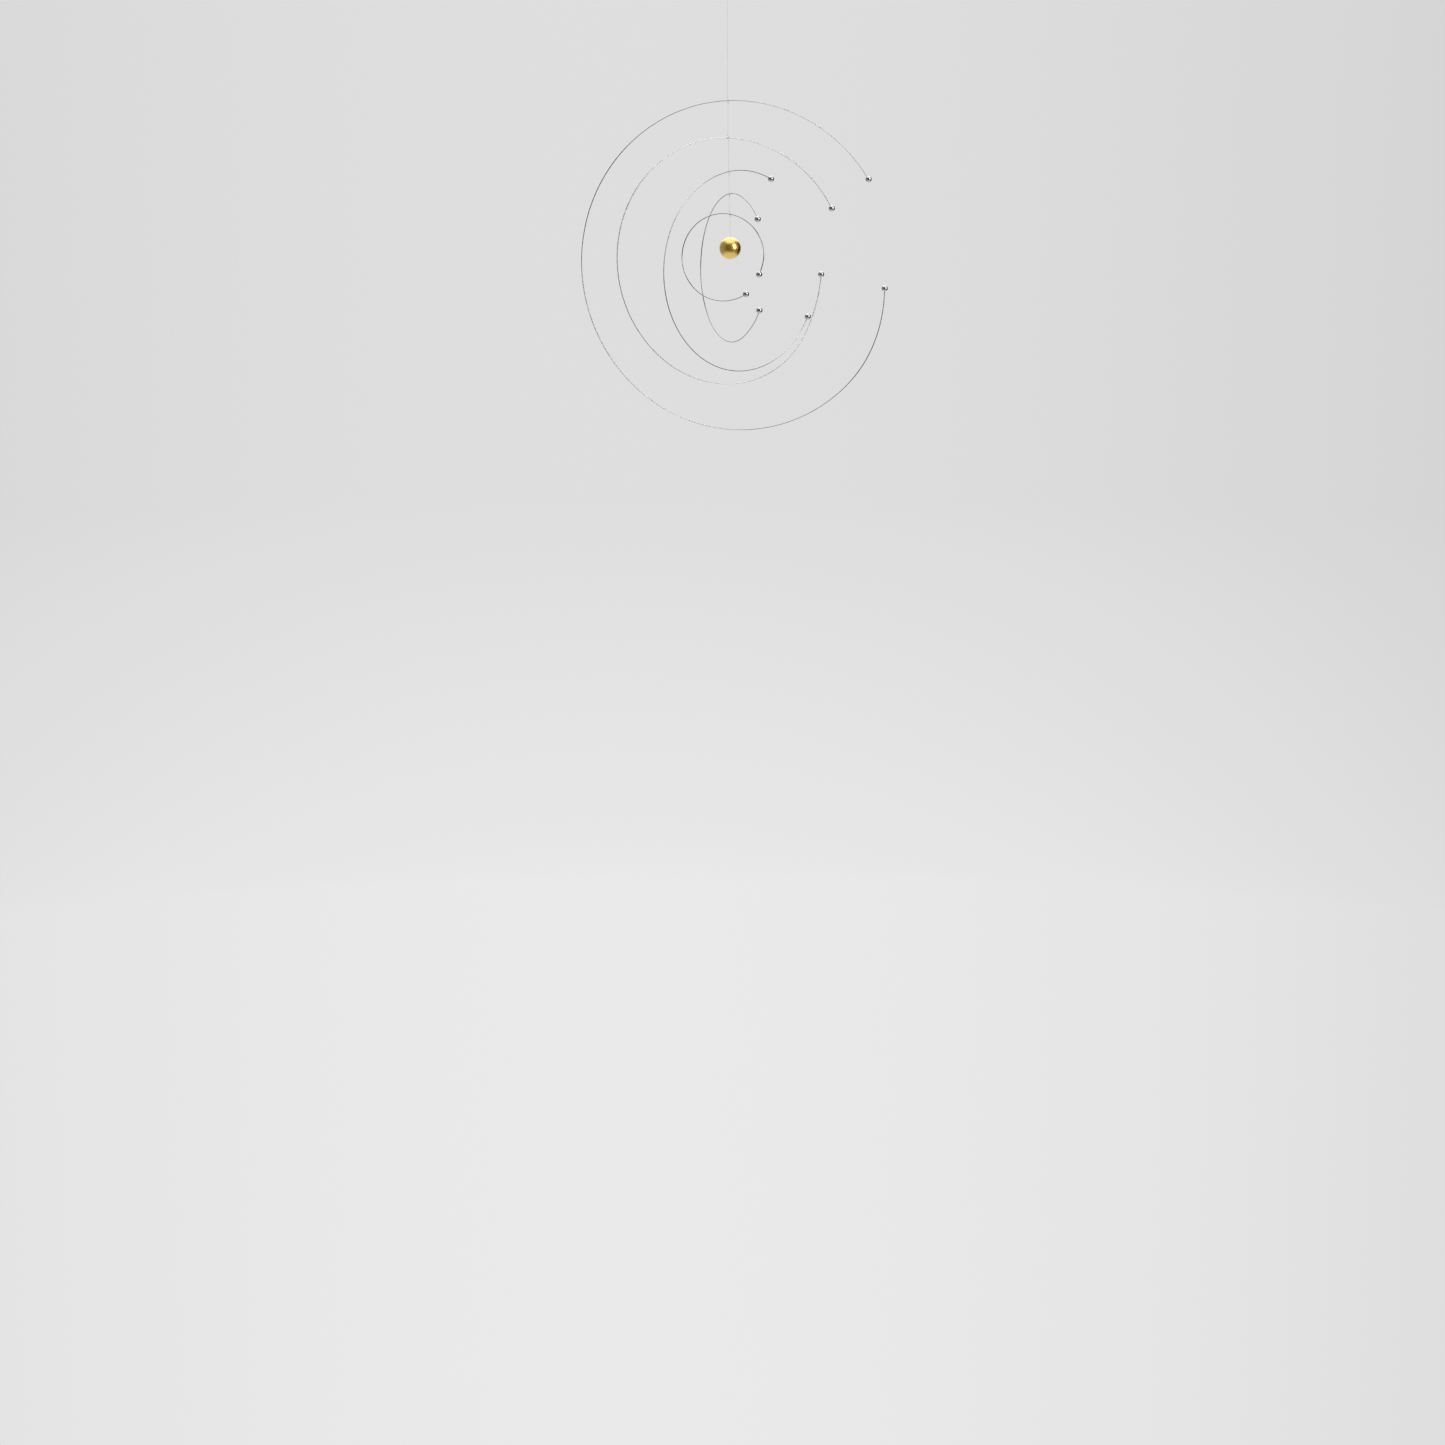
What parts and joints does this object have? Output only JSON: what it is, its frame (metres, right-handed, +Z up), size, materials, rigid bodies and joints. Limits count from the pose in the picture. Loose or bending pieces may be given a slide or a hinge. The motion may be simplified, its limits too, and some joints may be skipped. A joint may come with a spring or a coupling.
{
  "type": "hanging ring mobile",
  "caption": "Hanging mobile of nested open wire rings with small chromed end balls around a satin gold ball, each ring turning on its own thread.",
  "frame": {"origin": "inside of the hanging loop's crown, where a hook bears", "axes": "+Z up along the thread, +X to the open side of the rings as seen in the picture, +Y away from the viewer"},
  "size_m": [0.3115, 0.1395, 0.4511],
  "materials": {
    "steel_wire": "polished drawn steel wire",
    "chrome": "mirror chrome plating",
    "gold": "satin gold plating",
    "thread": "fine translucent nylon thread"
  },
  "bodies": {
    "hanger": {"hanging_loop": "thread", "hanging_knot": "thread"},
    "ring_1": {"ring_1_thread": "thread", "ring_1_wire": "steel_wire", "ring_1_upper_ball": "chrome", "ring_1_lower_ball": "chrome", "ring_1_lower_tie": "thread"},
    "ring_2": {"ring_2_thread": "thread", "ring_2_wire": "steel_wire", "ring_2_upper_ball": "chrome", "ring_2_lower_ball": "chrome", "ring_2_lower_tie": "thread"},
    "ring_3": {"ring_3_thread": "thread", "ring_3_wire": "steel_wire", "ring_3_upper_ball": "chrome", "ring_3_lower_ball": "chrome", "ring_3_lower_tie": "thread"},
    "ring_4": {"ring_4_thread": "thread", "ring_4_wire": "steel_wire", "ring_4_upper_ball": "chrome", "ring_4_lower_ball": "chrome", "ring_4_lower_tie": "thread"},
    "ring_5": {"ring_5_thread": "thread", "ring_5_wire": "steel_wire", "ring_5_upper_ball": "chrome", "ring_5_lower_ball": "chrome", "gold_ball_thread": "thread", "gold_ball": "gold"}
  },
  "joints": [
    {"name": "ring_1_swivel", "type": "hinge", "parent": "hanger", "child": "ring_1", "pos_m": [0, 0, -0.01918], "axis": [0, 0, 1], "continuous": true},
    {"name": "ring_2_swivel", "type": "hinge", "parent": "ring_1", "child": "ring_2", "pos_m": [0.00067, 0.0002, -0.12734], "axis": [0, 0, 1], "continuous": true},
    {"name": "ring_3_swivel", "type": "hinge", "parent": "ring_2", "child": "ring_3", "pos_m": [0.0013, 0.00051, -0.16418], "axis": [0, 0, 1], "continuous": true},
    {"name": "ring_4_swivel", "type": "hinge", "parent": "ring_3", "child": "ring_4", "pos_m": [0.00185, 0.00094, -0.19754], "axis": [0, 0, 1], "continuous": true},
    {"name": "ring_5_swivel", "type": "hinge", "parent": "ring_4", "child": "ring_5", "pos_m": [0.00217, 0.00031, -0.21971], "axis": [0, 0, 1], "continuous": true}
  ]
}
